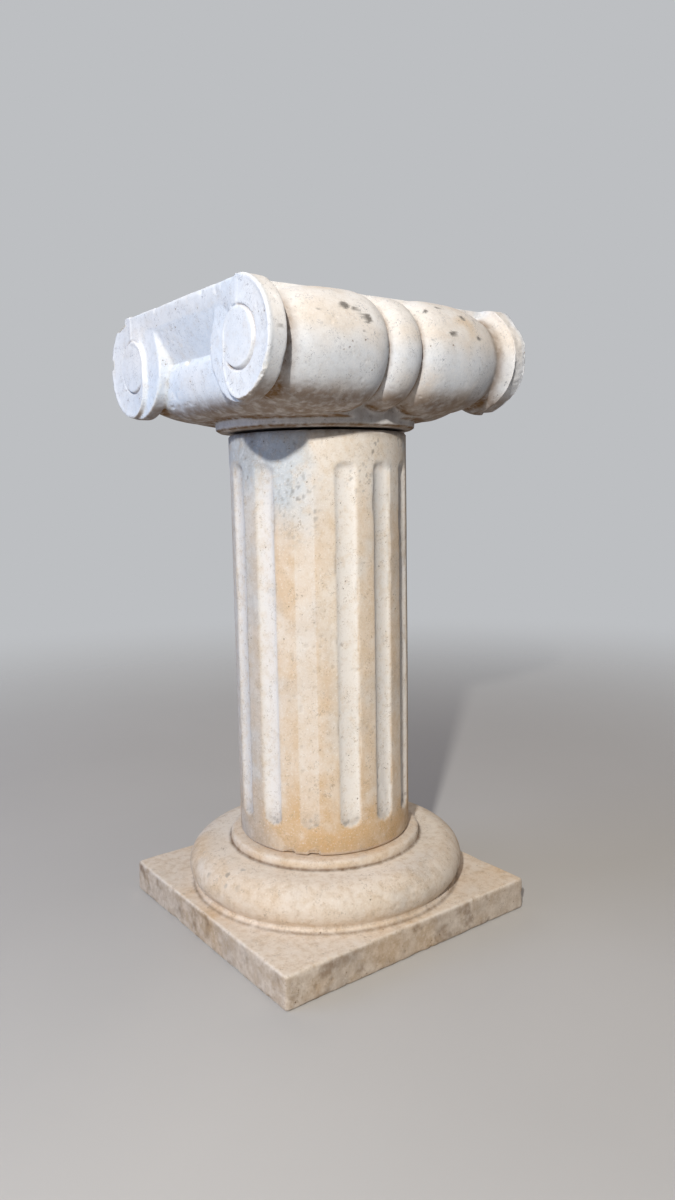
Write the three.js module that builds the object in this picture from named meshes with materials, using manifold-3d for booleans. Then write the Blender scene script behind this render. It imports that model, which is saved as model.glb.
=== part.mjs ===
// A short Ionic column used as a pedestal, cut from cream limestone.
// Three stones stand on each other by their own weight: a base (square plinth, torus and
// fillet ring in one block), a fluted shaft and a scrolled capital with its necking ring.
// Millimetres, +Z up, origin at the centre of the underside of the plinth. The scroll faces
// look along -Y and +Y, and the rolled bolsters run along Y on the -X and +X sides.

import * as THREE from 'three';
import { mergeVertices } from 'three/addons/utils/BufferGeometryUtils.js';
import Module from 'manifold-3d';

const wasm = await Module();
wasm.setup();

// ---------------------------------------------------------------- driving dimensions
const JOINT_GAP = 0.3;            // dry joint between two stones
const OVERLAP = 2;                // how far features of one stone run into each other
const REACH = 400;                // longer than any side, for trimming blocks

const PLINTH = { side: 370, height: 40, corner: 4, arris: 1.5 };
const BASE_FACETS = 64;
const AXIS = { x: 1.5, y: 2 };    // the turned work stands a little off the middle of the plinth
const TORUS = { radius: 178.5, foot: 173.5, top: 94, shoulder: 148 };
const FILLET = { radius: 124, nose: 1, neck: 118, top: 105.5 };

const SHAFT = { radius: 111, top: 611.7, arris: 1.5, facets: 84 };
const FLUTES = {
  count: 14,
  first: THREE.MathUtils.degToRad(-45),
  width: 26,
  depth: 4.5,
  shallowDepth: 1.2,              // the first one was barely started
  foot: 140,
  head: 574,
};

const CAPITAL = { top: 756.5, faceY: 185 };
const NECK = { radius: 124, top: 631, arris: 2, facets: 60 };
const VOLUTE = { x: 126, z: 696, radius: 61, thickness: 21 };
const SPIRAL = {                  // turns from the top of a scroll between which it winds in
  start: THREE.MathUtils.degToRad(175),
  end: THREE.MathUtils.degToRad(262),
};
const EYE = { radius: 30 };
const BAND = { rim: 4, depth: 2.2, end: THREE.MathUtils.degToRad(215) };
const CANALIS = { foot: 689, depth: 25, shape: 1.5, flatHalf: 84, lip: 1 };
const ECHINUS = {
  edgeY: 163,
  bellyY: 168, bellyZ: 672,
  footY: 118, footZ: 626,
  halfWidth: 121,
  shoulder: THREE.MathUtils.degToRad(20),
};
const BOWL = { radius: 194, rimZ: 668, depth: 44 };
const BOLSTER = {
  x: 121, z: 692.5,
  dip: { y: 152, radius: 50 },
  crest: { y: 62, radius: 64.5 },
  groove: { y: 23, radius: 51 },
  beltRadius: 62,
  facets: 36,
};
const STEPS = {                   // stretches along the curves
  torus: 8,
  fluteEnd: 6,
  fluteRound: 28,
  spiral: 34,
  eye: 12,
  band: 28,
  bandEye: 14,
  channelAcross: 14,
  channelDown: 7,
  cushion: 9,
  bowl: 8,
  bowlRound: 72,
  dip: 6,
  groove: 5,
  belt: 4,
};

// ---------------------------------------------------------------- solids and joins
/** Turns a closed geometry into a manifold solid by merging its shared vertices. */
function solidOf(geometry) {
  const bare = geometry.clone();
  bare.deleteAttribute('normal');
  bare.deleteAttribute('uv');
  const merged = mergeVertices(bare, 1e-3);
  return new wasm.Manifold(new wasm.Mesh({
    numProp: 3,
    vertProperties: new Float32Array(merged.attributes.position.array),
    triVerts: new Uint32Array(merged.index.array),
  }));
}

/** Turns a manifold solid back into an indexed three.js geometry. */
function geometryOf(solid) {
  const mesh = solid.getMesh();
  const geometry = new THREE.BufferGeometry();
  geometry.setAttribute('position', new THREE.BufferAttribute(mesh.vertProperties, 3));
  geometry.setIndex(new THREE.BufferAttribute(mesh.triVerts, 1));
  geometry.computeVertexNormals();
  return geometry;
}

/** Joins a list of solids into one. */
function join(solids) {
  return solids.reduce((whole, piece) => whole.add(piece));
}

/** A block given by its lowest and highest corners. */
function block(low, high) {
  const size = high.map((value, axis) => value - low[axis]);
  const geometry = new THREE.BoxGeometry(...size);
  geometry.translate(...high.map((value, axis) => (value + low[axis]) / 2));
  return solidOf(geometry);
}

/** A turned solid about an upright axis from a profile of (radius, height) points. */
function turned(profile, facets, axis = { x: 0, y: 0 }) {
  const geometry = new THREE.LatheGeometry(profile, facets);
  geometry.rotateX(Math.PI / 2);
  geometry.translate(axis.x, axis.y, 0);
  return solidOf(geometry);
}

/** Points of an elliptical arc, from one angle to another about its centre. */
function arc(centreX, centreY, radiusX, radiusY, from, to, steps) {
  const curve = new THREE.EllipseCurve(centreX, centreY, radiusX, radiusY, from, to, to < from);
  return curve.getPoints(steps);
}

const point = (x, y) => new THREE.Vector2(x, y);

// ---------------------------------------------------------------- base
/** The square slab under the column, its corners and arrises slightly eased. */
function plinth() {
  const half = PLINTH.side / 2 - PLINTH.arris;
  const flat = half - PLINTH.corner;
  const outline = new THREE.Shape();
  outline.absarc(flat, flat, PLINTH.corner, 0, Math.PI / 2);
  outline.absarc(-flat, flat, PLINTH.corner, Math.PI / 2, Math.PI);
  outline.absarc(-flat, -flat, PLINTH.corner, Math.PI, 1.5 * Math.PI);
  outline.absarc(flat, -flat, PLINTH.corner, 1.5 * Math.PI, 2 * Math.PI);
  const geometry = new THREE.ExtrudeGeometry(outline, {
    depth: PLINTH.height - 2 * PLINTH.arris,
    curveSegments: 3,
    bevelThickness: PLINTH.arris,
    bevelSize: PLINTH.arris,
    bevelSegments: 1,
  });
  geometry.translate(0, 0, PLINTH.arris);
  return solidOf(geometry);
}

/** The torus and the round-nosed fillet ring that seats the shaft. */
function torusAndFillet() {
  const middle = (PLINTH.height + TORUS.top) / 2;
  const rise = TORUS.top - middle;
  const swell = TORUS.radius - TORUS.shoulder;
  const ringMiddle = (TORUS.top + FILLET.top) / 2;
  const profile = [
    point(0, PLINTH.height - OVERLAP),
    point(TORUS.foot, PLINTH.height - OVERLAP),
    point(TORUS.foot, PLINTH.height + OVERLAP),
    ...arc(TORUS.shoulder, middle, swell, rise, -Math.PI / 4, Math.PI / 2, STEPS.torus),
    point(FILLET.radius - FILLET.nose, TORUS.top),
    point(FILLET.radius, ringMiddle - OVERLAP),
    point(FILLET.radius - FILLET.nose, ringMiddle + OVERLAP),
    point(FILLET.neck, FILLET.top),
    point(0, FILLET.top),
  ];
  return turned(profile, BASE_FACETS, AXIS);
}

// ---------------------------------------------------------------- shaft
/** The round drum before its flutes are cut. */
function drum() {
  const foot = FILLET.top + JOINT_GAP;
  const eased = SHAFT.radius - SHAFT.arris;
  return turned([
    point(0, foot),
    point(eased, foot),
    point(SHAFT.radius, foot + SHAFT.arris),
    point(SHAFT.radius, SHAFT.top - SHAFT.arris),
    point(eased, SHAFT.top),
    point(0, SHAFT.top),
  ], SHAFT.facets, AXIS);
}

/** A round-ended cutter that leaves a shallow flute of the given depth. */
function fluteCutter(index, depth) {
  const half = FLUTES.width / 2;
  const sagitta = SHAFT.radius - Math.sqrt(SHAFT.radius ** 2 - half ** 2);
  const cut = depth - sagitta;
  const radius = (half ** 2 + cut ** 2) / (2 * cut);
  const straight = FLUTES.head - FLUTES.foot - FLUTES.width;
  const geometry = new THREE.CapsuleGeometry(radius, straight, STEPS.fluteEnd, STEPS.fluteRound);
  const angle = FLUTES.first + index * 2 * Math.PI / FLUTES.count;
  const distance = SHAFT.radius - depth + radius;
  geometry.rotateX(Math.PI / 2);
  geometry.translate(
    AXIS.x + distance * Math.cos(angle),
    AXIS.y + distance * Math.sin(angle),
    (FLUTES.foot + FLUTES.head) / 2,
  );
  return solidOf(geometry);
}

/** The drum with its fourteen flutes, the first of them barely started. */
function shaft() {
  let stone = drum();
  for (let index = 0; index < FLUTES.count; index += 1) {
    const depth = index === 0 ? FLUTES.shallowDepth : FLUTES.depth;
    stone = stone.subtract(fluteCutter(index, depth));
  }
  return stone;
}

// ---------------------------------------------------------------- capital
/** Radius of the scroll's outline after turning through an angle from its top. */
function spiralRadius(turn) {
  const inward = THREE.MathUtils.smoothstep(turn, SPIRAL.start, SPIRAL.end);
  return THREE.MathUtils.lerp(VOLUTE.radius, EYE.radius, inward);
}

/** A point on the scroll face, turned clockwise from the top, on the +X volute. */
function scrollPoint(turn, radius) {
  return point(VOLUTE.x + radius * Math.sin(turn), VOLUTE.z + radius * Math.cos(turn));
}

/** Extrudes an (x, z) outline along Y from one depth to another. */
function slab(outline, fromY, toY) {
  const geometry = new THREE.ExtrudeGeometry(new THREE.Shape(outline), {
    depth: toY - fromY,
    bevelEnabled: false,
  });
  geometry.rotateX(Math.PI / 2);
  geometry.translate(0, toY, 0);
  return solidOf(geometry);
}

/** Points along the scroll between two turns, at a radius given by a function of the turn. */
function scrollArc(from, to, steps, radiusAt) {
  return Array.from({ length: steps + 1 }, (_, step) => {
    const turn = THREE.MathUtils.lerp(from, to, step / steps);
    return scrollPoint(turn, radiusAt(turn));
  });
}

/** The scroll of the front volute at +X: a spiral plate, its sunk band and its flat eye. */
function volute() {
  const face = -CAPITAL.faceY;
  const back = face + VOLUTE.thickness;
  const eyeRadius = () => EYE.radius;
  const bandRadius = (turn) => spiralRadius(turn) - BAND.rim * Math.sin(turn / 2);
  const outline = [
    ...scrollArc(0, SPIRAL.end, STEPS.spiral, spiralRadius),
    ...scrollArc(SPIRAL.end, 2 * Math.PI, STEPS.eye, eyeRadius).slice(1),
  ];
  const band = [
    ...scrollArc(0, BAND.end, STEPS.band, bandRadius),
    ...scrollArc(0, BAND.end, STEPS.bandEye, eyeRadius).reverse(),
  ];
  const plate = slab(outline, face, back);
  return plate.subtract(slab(band, face - OVERLAP, face + BAND.depth));
}

/** How far the sunk channel between the volutes lies behind the face at a place on it. */
function channelDepth(x, z) {
  const down = (CAPITAL.top - z) / (CAPITAL.top - CANALIS.foot);
  const level = 1 - THREE.MathUtils.smoothstep(Math.abs(x), CANALIS.flatHalf, VOLUTE.x);
  return CANALIS.lip + (CANALIS.depth - CANALIS.lip) * level * down ** CANALIS.shape;
}

/** The upper body of the capital, its front and back hollowed as the channel. */
function channelBlock() {
  const height = CAPITAL.top - CANALIS.foot;
  const size = [2 * VOLUTE.x, 2 * CAPITAL.faceY, height];
  const geometry = new THREE.BoxGeometry(...size, STEPS.channelAcross, 1, STEPS.channelDown);
  geometry.translate(0, 0, CANALIS.foot + height / 2);
  const places = geometry.attributes.position;
  for (let index = 0; index < places.count; index += 1) {
    const depth = channelDepth(places.getX(index), places.getZ(index));
    places.setY(index, Math.sign(places.getY(index)) * (CAPITAL.faceY - depth));
  }
  return solidOf(geometry);
}

/** The cushion under the channel: straight in front, and bowl-shaped underneath. */
function echinus() {
  const halfProfile = [
    point(ECHINUS.edgeY, CANALIS.foot + OVERLAP),
    point(ECHINUS.edgeY, CANALIS.foot),
    ...arc(
      ECHINUS.footY, ECHINUS.bellyZ,
      ECHINUS.bellyY - ECHINUS.footY, ECHINUS.bellyZ - ECHINUS.footZ,
      ECHINUS.shoulder, -Math.PI / 2, STEPS.cushion,
    ),
  ];
  const mirrored = halfProfile.map((place) => point(-place.x, place.y)).reverse();
  const outline = new THREE.Shape([...halfProfile, ...mirrored]);
  const geometry = new THREE.ExtrudeGeometry(outline, {
    depth: 2 * ECHINUS.halfWidth,
    bevelEnabled: false,
  });
  geometry.rotateX(Math.PI / 2);
  geometry.rotateZ(Math.PI / 2);
  geometry.translate(-ECHINUS.halfWidth, 0, 0);
  const bowl = turned([
    point(0, BOWL.rimZ - BOWL.depth),
    ...arc(NECK.radius, BOWL.rimZ, BOWL.radius - NECK.radius, BOWL.depth, -Math.PI / 2, 0, STEPS.bowl),
    point(BOWL.radius, CANALIS.foot + 2 * OVERLAP),
    point(0, CANALIS.foot + 2 * OVERLAP),
  ], STEPS.bowlRound);
  return solidOf(geometry).intersect(bowl);
}

/** One quarter of an ellipse of the bolster's profile, from a low place to its crest. */
function swell(low, high, steps) {
  return Array.from({ length: steps }, (_, step) => {
    const angle = (Math.PI / 2) * (step / steps);
    const along = THREE.MathUtils.lerp(low.y, high.y, 1 - Math.cos(angle));
    return point(THREE.MathUtils.lerp(low.radius, high.radius, Math.sin(angle)), along);
  });
}

/** The rolled side of the capital at +X: two swelling halves and a belt between them. */
function bolster() {
  const { dip, crest, groove } = BOLSTER;
  const end = CAPITAL.faceY - VOLUTE.thickness / 2;
  const belt = { y: 0, radius: BOLSTER.beltRadius };
  const half = [
    point(dip.radius, end),
    ...swell(dip, crest, STEPS.dip),
    point(crest.radius, crest.y),
    ...swell(groove, crest, STEPS.groove).reverse(),
    ...swell(groove, belt, STEPS.belt).slice(1),
  ];
  const profile = [
    point(0, end),
    ...half,
    point(belt.radius, 0),
    ...half.map((place) => point(place.x, -place.y)).reverse(),
    point(0, -end),
  ].reverse();
  const geometry = new THREE.LatheGeometry(profile, BOLSTER.facets);
  geometry.translate(BOLSTER.x, 0, BOLSTER.z);
  return solidOf(geometry);
}

/** The flat-faced ring under the capital. */
function neckingRing() {
  const foot = SHAFT.top + JOINT_GAP;
  return turned([
    point(0, foot),
    point(NECK.radius - NECK.arris, foot),
    point(NECK.radius, foot + NECK.arris),
    point(NECK.radius, NECK.top),
    point(0, NECK.top),
  ], NECK.facets);
}

/** The whole capital, mirrored about both of its middle planes. */
function capital() {
  const scroll = volute();
  const rolled = bolster();
  const sides = [rolled, rolled.mirror([1, 0, 0])];
  const scrolls = [scroll, scroll.mirror([1, 0, 0])];
  const backScrolls = scrolls.map((solid) => solid.mirror([0, 1, 0]));
  const whole = join([channelBlock(), echinus(), neckingRing(), ...sides, ...scrolls, ...backScrolls]);
  const room = block([-REACH, -REACH, 0], [REACH, REACH, CAPITAL.top]);
  return whole.intersect(room);
}

// ---------------------------------------------------------------- the column
/** A named stone with its own material. */
function stone(name, solid, colour, roughness) {
  const material = new THREE.MeshStandardMaterial({ color: colour, roughness, metalness: 0 });
  const mesh = new THREE.Mesh(geometryOf(solid), material);
  mesh.name = name;
  return mesh;
}

const column = new THREE.Group();
column.add(
  stone('base', plinth().add(torusAndFillet()), 0xd8c7a6, 0.85),
  stone('shaft', shaft(), 0xdcc59b, 0.85),
  stone('capital', capital(), 0xe0d6c4, 0.8),
);

export default column;
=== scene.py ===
"""Looks of a short Ionic column used as a pedestal, cut from cream and honey limestone.

Each of the three stones is carved here as a fine mesh inside the box of the CAD solid that it stands
for. Sizes are in millimetres until a mesh is handed to Blender, which is in metres.
"""

import functools
import itertools
import logging
import math
from dataclasses import dataclass, field
from enum import Enum
from typing import Callable, Sequence

import bmesh
import bpy
import numpy as np
from mathutils import Matrix, Vector


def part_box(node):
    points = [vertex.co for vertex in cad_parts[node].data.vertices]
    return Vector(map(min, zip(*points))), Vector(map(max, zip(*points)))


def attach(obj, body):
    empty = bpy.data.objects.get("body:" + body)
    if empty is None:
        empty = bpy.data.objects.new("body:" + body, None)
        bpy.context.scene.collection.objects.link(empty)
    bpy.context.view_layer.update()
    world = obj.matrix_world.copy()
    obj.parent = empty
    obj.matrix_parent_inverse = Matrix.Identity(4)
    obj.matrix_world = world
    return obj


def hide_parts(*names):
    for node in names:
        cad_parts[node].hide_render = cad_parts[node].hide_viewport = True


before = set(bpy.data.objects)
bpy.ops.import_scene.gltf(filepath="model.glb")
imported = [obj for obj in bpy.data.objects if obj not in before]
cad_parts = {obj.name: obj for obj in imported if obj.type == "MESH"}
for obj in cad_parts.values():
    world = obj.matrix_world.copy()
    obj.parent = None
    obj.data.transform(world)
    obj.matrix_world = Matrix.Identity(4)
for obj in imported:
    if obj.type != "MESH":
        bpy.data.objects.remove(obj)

logging.basicConfig(level=logging.INFO, format="%(levelname)s %(message)s")
log = logging.getLogger("column")

MM = 0.001                      # metres in a millimetre
COARSE = 1.0     # how much coarser the meshes are while trying things
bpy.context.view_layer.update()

Points = np.ndarray             # an (n, 3) array of places or directions, in millimetres
Values = np.ndarray             # an (n,) array, one number for each place
Pair = tuple[float, float]
Triple = tuple[float, float, float]
Shell = bmesh.types.BMesh
Piece = bpy.types.Object


class Stone(Enum):
    """The three stones, by the name of the CAD node that each one stands for."""

    BASE = "base"
    SHAFT = "shaft"
    CAPITAL = "capital"


# ---------------------------------------------------------------------------- small helpers
def smoothstep(value: Values, low: float, high: float) -> Values:
    """Rises smoothly from 0 at low to 1 at high; low may be above high."""
    share = np.clip((value - low) / (high - low), 0.0, 1.0)
    return share * share * (3.0 - 2.0 * share)


def bell(value: Values, width: float) -> Values:
    """A smooth hump of height 1 at zero that is nearly gone at twice its width."""
    return np.exp(-((value / width) ** 2))


class StoneNoise:
    """Smooth seeded lattice noise from -1 to 1, the same on every run."""

    CELLS = 32

    def __init__(self, seed: int) -> None:
        """Fills the lattice with the pattern of a seed."""
        self.table = np.random.default_rng(seed).random((self.CELLS,) * 3) * 2.0 - 1.0

    def __call__(self, places: Points, size: float) -> Values:
        """Reads the noise at some places.

        Args:
            places: Where to read it.
            size: Width of one lump, in the places' unit.

        Returns:
            One number for each place.
        """
        scaled = places / size
        corner = np.floor(scaled).astype(int)
        part = scaled - corner
        part = part ** 3 * (part * (part * 6.0 - 15.0) + 10.0)
        near = corner % self.CELLS
        far = (near + 1) % self.CELLS
        total = np.zeros(len(places))
        for ends in itertools.product((0, 1), repeat=3):
            shares = [part[:, axis] if end else 1.0 - part[:, axis] for axis, end in enumerate(ends)]
            cell = tuple((far if end else near)[:, axis] for axis, end in enumerate(ends))
            total += shares[0] * shares[1] * shares[2] * self.table[cell]
        return total

    def layered(self, places: Points, size: float, layers: int = 3) -> Values:
        """Adds layers of noise, each half as wide and half as strong as the one before."""
        return sum(self(places + 17.3 * layer, size / 2 ** layer) / 2 ** layer for layer in range(layers))

    def patches(self, places: Points, size: float, low: float, high: float) -> Values:
        """Layered noise graded into soft patches: 0 where it is below low, 1 where it is above high."""
        return smoothstep(self.layered(places, size), low, high)


def closed_mesh(shells: Sequence[Shell], name: str) -> Piece:
    """Puts some closed shells into one object, in metres, and frees them.

    Args:
        shells: Shells in millimetres. They may run into each other.
        name: Name of the new object.

    Returns:
        The object, linked to the scene.
    """
    whole = bmesh.new()
    for shell in shells:
        bmesh.ops.recalc_face_normals(shell, faces=shell.faces[:])
        part = bpy.data.meshes.new(name + "_shell")
        shell.to_mesh(part)
        shell.free()
        whole.from_mesh(part)
        bpy.data.meshes.remove(part)
    stretch(whole, (MM, MM, MM))
    mesh = bpy.data.meshes.new(name)
    whole.to_mesh(mesh)
    whole.free()
    piece = bpy.data.objects.new(name, mesh)
    bpy.context.scene.collection.objects.link(piece)
    return piece


def apply_modifier(piece: Piece, kind: str, **settings: object) -> None:
    """Adds a modifier of a kind, such as REMESH, and applies it to the piece's mesh."""
    modifier = piece.modifiers.new(kind.lower(), kind)
    for key, value in settings.items():
        setattr(modifier, key, value)
    graph = bpy.context.evaluated_depsgraph_get()
    finished = bpy.data.meshes.new_from_object(piece.evaluated_get(graph))
    piece.modifiers.clear()
    before = piece.data
    piece.data = finished
    bpy.data.meshes.remove(before)


class Surface:
    """A piece's mesh as arrays, in millimetres, so that relief can be carved into it by formula."""

    def __init__(self, piece: Piece) -> None:
        """Reads the mesh of a piece."""
        self.mesh = piece.data
        count = len(self.mesh.vertices)
        flat = np.empty(count * 3)
        self.mesh.vertices.foreach_get("co", flat)
        self.places: Points = flat.reshape(-1, 3) / MM
        edges = np.empty(len(self.mesh.edges) * 2, int)
        self.mesh.edges.foreach_get("vertices", edges)
        self.edges = edges.reshape(-1, 2)
        self.links = np.bincount(edges, minlength=count)

    def normals(self) -> Points:
        """Vertex normals of the mesh as it is now."""
        self.store()
        flat = np.empty(len(self.places) * 3)
        self.mesh.vertices.foreach_get("normal", flat)
        return flat.reshape(-1, 3)

    def store(self) -> None:
        """Writes the places back to the mesh, in metres."""
        self.mesh.vertices.foreach_set("co", (self.places * MM).ravel())
        self.mesh.update()

    def averaged(self, values: Points, times: int) -> Points:
        """Averages rows of numbers with their neighbours along the edges.

        Args:
            values: One row for each vertex.
            times: How often to do it.

        Returns:
            The averaged rows.
        """
        first, second = self.edges.T
        for _ in range(times):
            total = values.copy()
            for index, column in enumerate(values.T):
                total[:, index] += (np.bincount(first, column[second], len(column))
                                    + np.bincount(second, column[first], len(column)))
            values = total / (1 + self.links[:, None])
        return values

    def hollowness(self, times: int) -> Values:
        """How far each place lies in a hollow (above 0) or on an arris (below 0), in millimetres."""
        normals = self.normals()
        return ((self.averaged(self.places, times) - self.places) * normals).sum(axis=1)

    def sink(self, depth: Values) -> None:
        """Moves the surface inwards along its normals by depths in millimetres."""
        self.places = self.places - self.normals() * depth[:, None]

    def paint(self, name: str, channels: Sequence[Values]) -> None:
        """Stores up to three masks as a colour attribute that a material reads.

        Args:
            name: The attribute's name.
            channels: Masks from 0 to 1 for red, green and blue.
        """
        colours = np.ones((len(self.places), 4), np.float32)
        for index, channel in enumerate(channels):
            colours[:, index] = np.clip(channel, 0.0, 1.0)
        layer = self.mesh.color_attributes.new(name=name, type="FLOAT_COLOR", domain="POINT")
        layer.data.foreach_set("color", colours.ravel())


@dataclass(frozen=True)
class Chip:
    """A flake broken off along a rough plane.

    The plane passes through a place at some depth, and everything outside it, within reach, is gone.
    """

    place: Triple
    outward: Triple
    reach: float
    rough: float = 0.8
    fresh: float = 1.0

    def direction(self) -> np.ndarray:
        """The way in which the flake came off, as a unit vector."""
        return np.array(Vector(self.outward).normalized())

    def height(self, places: Points, noise: StoneNoise) -> Values:
        """How far each place stands above the broken surface, in millimetres."""
        lumps = noise.layered(places, self.reach * 0.55)
        return (places - np.array(self.place)) @ self.direction() + self.rough * lumps

    def strength(self, places: Points) -> Values:
        """1 within reach of the chip's middle, falling to 0 just outside it."""
        away = np.linalg.norm(places - np.array(self.place), axis=1)
        return smoothstep(away, self.reach, self.reach * 0.82)

    def cut(self, surface: Surface, noise: StoneNoise) -> None:
        """Takes the flake off a surface."""
        above = np.maximum(self.height(surface.places, noise), 0.0) * self.strength(surface.places)
        surface.places = surface.places - above[:, None] * self.direction()

    def bare(self, surface: Surface, noise: StoneNoise) -> Values:
        """Marks the broken surface itself, where the stone is fresh: 1 on the break, 0 elsewhere."""
        near = np.abs(self.height(surface.places, noise))
        return self.fresh * bell(near, 0.7) * self.strength(surface.places)


def finish_stone(piece: Piece, stone: Stone, material: bpy.types.Material) -> None:
    """Gives a stone its material and its place in the CAD model.

    Args:
        piece: The finished stone.
        stone: The CAD node that it stands for.
        material: The finish.
    """
    piece.data.materials.clear()
    piece.data.materials.append(material)
    for face in piece.data.polygons:
        face.use_smooth = True
    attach(piece, "root")
    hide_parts(stone.value)
    log.info("%s: %d faces", piece.name, len(piece.data.polygons))


def keep_inside(surface: Surface, stone: Stone) -> None:
    """Holds a stone's surface inside the box of the CAD node that it stands for."""
    low, high = (np.array(corner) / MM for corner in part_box(stone.value))
    surface.places = np.clip(surface.places, low, high)


def voxelised(piece: Piece, voxel: float) -> None:
    """Melts a piece's shells into one fine even mesh of some voxel size in millimetres."""
    apply_modifier(piece, "REMESH", mode="VOXEL", voxel_size=voxel * COARSE * MM)


def thinned(piece: Piece, triangles: int, stone: Stone) -> Surface:
    """Thins a mesh out and holds it inside its box again.

    Args:
        piece: The carved stone.
        triangles: How many triangles to leave.
        stone: The CAD node that it stands for.

    Returns:
        The surface of the thinned mesh.
    """
    count = sum(len(face.vertices) - 2 for face in piece.data.polygons)
    apply_modifier(piece, "DECIMATE", ratio=min(1.0, triangles / count))
    surface = Surface(piece)
    keep_inside(surface, stone)
    surface.store()
    return surface


def shift(shell: Shell, offset: Triple) -> None:
    """Moves a whole shell."""
    bmesh.ops.translate(shell, vec=offset, verts=shell.verts[:])


def stretch(shell: Shell, factors: Triple) -> None:
    """Scales a whole shell about the origin."""
    bmesh.ops.scale(shell, vec=factors, verts=shell.verts[:])


def tip_over(shell: Shell, degrees: float) -> None:
    """Turns a whole shell about the X axis."""
    turn = Matrix.Rotation(math.radians(degrees), 3, "X")
    bmesh.ops.rotate(shell, cent=(0, 0, 0), matrix=turn, verts=shell.verts[:])


def ease(shell: Shell, edges: Sequence[bmesh.types.BMEdge], width: float, steps: int) -> None:
    """Rounds some edges over."""
    bmesh.ops.bevel(shell, geom=edges, affect="EDGES", offset=width, segments=steps, profile=0.5, material=-1)


def turned(places: Sequence[Pair], steps: int) -> Shell:
    """Turns a profile about the Z axis into a closed shell.

    Args:
        places: (radius, height) points that begin and end on the axis.
        steps: How many facets go round.

    Returns:
        The shell.
    """
    shell = bmesh.new()
    verts = [shell.verts.new((x, 0.0, z)) for x, z in places]
    edges = [shell.edges.new(pair) for pair in itertools.pairwise(verts)]
    bmesh.ops.spin(shell, geom=verts + edges, cent=(0, 0, 0), axis=(0, 0, 1), angle=math.tau,
                   steps=steps, use_merge=True)
    bmesh.ops.remove_doubles(shell, verts=shell.verts[:], dist=1e-4)
    return shell


def arc(centre: Pair, radii: Pair, start: float, end: float, steps: int) -> list[Pair]:
    """Points of an elliptical arc between two angles in degrees."""
    angles = np.radians(np.linspace(start, end, steps + 1))
    return [(centre[0] + radii[0] * math.cos(a), centre[1] + radii[1] * math.sin(a)) for a in angles]


def pits(places: Points, noise: StoneNoise, spacing: float, depth: float) -> Values:
    """Depths of the small holes of a porous limestone, scattered in loose groups."""
    groups = noise.patches(places + 50.0, 60.0, -0.2, 0.8)
    return depth * smoothstep(noise(places + 250.0, spacing), 0.55, 0.85) * (0.2 + 0.8 * groups)


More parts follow.
